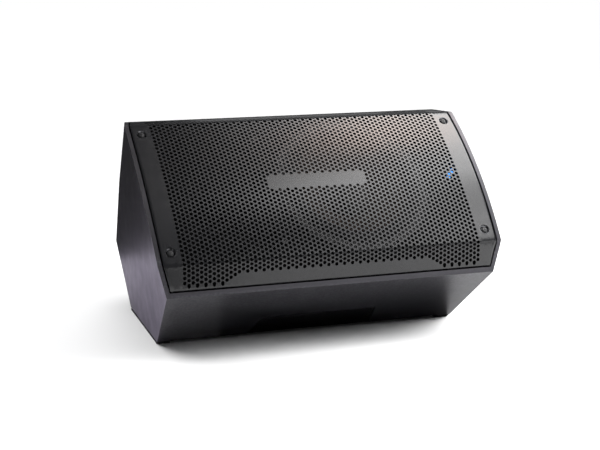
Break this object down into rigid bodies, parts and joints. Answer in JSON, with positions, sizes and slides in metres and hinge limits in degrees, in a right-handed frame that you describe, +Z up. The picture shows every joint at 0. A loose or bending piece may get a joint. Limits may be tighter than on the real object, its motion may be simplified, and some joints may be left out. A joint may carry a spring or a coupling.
{
  "type": "powered stage monitor wedge",
  "caption": "Powered two-way stage monitor lying on its angled side, with a curved perforated grille, a recessed handle, a rear control panel and a pole socket.",
  "frame": {"origin": "centre of the footprint, on the floor plane under the rubber rails", "axes": "+X along the cabinet's length towards the pole socket end, +Y from the front facet to the back, +Z up"},
  "size_m": [0.452, 0.3612, 0.2695],
  "materials": {
    "baffle_plastic": "smooth matt moulding",
    "basket_steel": "black paint",
    "black_screw": "black zinc",
    "board_resin": "solder-masked board",
    "bright_steel": "zinc plated",
    "button_plastic": "smooth grey",
    "can_sleeve": "dark sleeve",
    "cap_cloth": "doped cloth",
    "coil_copper": "enamelled wire on a former",
    "coil_resin": "varnished winding and core",
    "cone_paper": "pressed paper pulp",
    "cup_steel": "black plated, glossy",
    "ferrite": "ground ferrite",
    "grille_paint": "satin powder coat",
    "grip_plastic": "semi-gloss moulding",
    "knob_plastic": "matt moulding with a white line",
    "lead_pvc": "soft insulation",
    "light_lens": "clear blue lens",
    "lining_felt": "needled felt",
    "panel_lens": "clear green lens",
    "panel_paint": "fine-texture powder coat",
    "plate_steel": "zinc plated, dull",
    "rocker_plastic": "gloss moulding",
    "shell_plastic": "fine moulded texture, satin",
    "sink_metal": "black anodised",
    "socket_plastic": "glass-filled moulding",
    "soft_rubber": "matt",
    "spider_cloth": "resin-treated cloth"
  },
  "bodies": {
    "cabinet": {"cabinet_shell": "shell_plastic", "front_baffle": "baffle_plastic", "baffle_screws": "bright_steel", "grille": "grille_paint", "screw_cups": "cup_steel", "grille_screws": "black_screw", "woofer_gasket": "soft_rubber", "woofer_basket": "basket_steel", "woofer_surround": "soft_rubber", "woofer_spider": "spider_cloth", "woofer_top_plate": "plate_steel", "woofer_magnet": "ferrite", "woofer_back_plate": "plate_steel", "woofer_screws": "black_screw", "horn_flare": "baffle_plastic", "horn_screws": "black_screw", "compression_driver": "ferrite", "driver_screws": "bright_steel", "port_tubes": "baffle_plastic", "status_light": "light_lens", "light_board": "board_resin", "handle_cup": "shell_plastic", "handle_grip": "grip_plastic", "floor_rails": "soft_rubber", "rail_screws": "bright_steel", "pole_socket": "shell_plastic", "pole_socket_screws": "black_screw", "amp_panel": "panel_paint", "panel_gasket": "soft_rubber", "panel_screws": "black_screw", "heat_sink": "sink_metal", "amp_board": "board_resin", "power_board": "board_resin", "transformer": "coil_resin", "capacitors": "can_sleeve", "standoffs": "bright_steel", "combo_socket_1": "socket_plastic", "combo_socket_2": "socket_plastic", "link_socket": "socket_plastic", "volume_pots": "bright_steel", "button_switches": "socket_plastic", "rocker_bezel": "rocker_plastic", "mains_inlet": "socket_plastic", "panel_lights": "panel_lens", "acoustic_lining": "lining_felt", "speaker_leads": "lead_pvc"},
    "diaphragm": {"woofer_cone": "cone_paper", "woofer_dust_cap": "cap_cloth", "woofer_voice_coil": "coil_copper"},
    "volume_1": {"volume_knob_1": "knob_plastic", "volume_shaft_1": "bright_steel"},
    "volume_2": {"volume_knob_2": "knob_plastic", "volume_shaft_2": "bright_steel"},
    "contour": {"contour_button": "button_plastic"},
    "ground_lift": {"ground_lift_button": "button_plastic"},
    "power_switch": {"power_rocker": "rocker_plastic"},
    "latch_1": {"release_tab_1": "bright_steel"},
    "latch_2": {"release_tab_2": "bright_steel"},
    "fuse_holder": {"fuse_drawer": "socket_plastic"}
  },
  "joints": [
    {"name": "cone_travel", "type": "slide", "parent": "cabinet", "child": "diaphragm", "axis": [0, -0.7071, 0.7071], "range_m": [-0.004, 0.004], "stiffness_N_per_m": 2500, "deforming": ["woofer_surround", "woofer_spider"]},
    {"name": "volume_1_turn", "type": "hinge", "parent": "cabinet", "child": "volume_1", "pos_m": [-0.036, 0.12178, 0.04056], "axis": [0, 0.7071, -0.7071], "range_deg": [-150, 150]},
    {"name": "volume_2_turn", "type": "hinge", "parent": "cabinet", "child": "volume_2", "pos_m": [0, 0.12178, 0.04056], "axis": [0, 0.7071, -0.7071], "range_deg": [-150, 150]},
    {"name": "contour_press", "type": "slide", "parent": "cabinet", "child": "contour", "axis": [0, -0.7071, 0.7071], "range_m": [0, 0.002], "stiffness_N_per_m": 400},
    {"name": "ground_lift_press", "type": "slide", "parent": "cabinet", "child": "ground_lift", "axis": [0, -0.7071, 0.7071], "range_m": [0, 0.002], "stiffness_N_per_m": 400},
    {"name": "power_switch_rock", "type": "hinge", "parent": "cabinet", "child": "power_switch", "pos_m": [0.073, 0.13239, 0.0639], "axis": [1, 0, 0], "range_deg": [-20, 0]},
    {"name": "latch_1_press", "type": "slide", "parent": "cabinet", "child": "latch_1", "axis": [0, -0.7071, 0.7071], "range_m": [0, 0.0015], "stiffness_N_per_m": 500},
    {"name": "latch_2_press", "type": "slide", "parent": "cabinet", "child": "latch_2", "axis": [0, -0.7071, 0.7071], "range_m": [0, 0.0015], "stiffness_N_per_m": 500},
    {"name": "fuse_drawer_pull", "type": "slide", "parent": "cabinet", "child": "fuse_holder", "axis": [0, 0.7071, -0.7071], "range_m": [0, 0.016]}
  ]
}
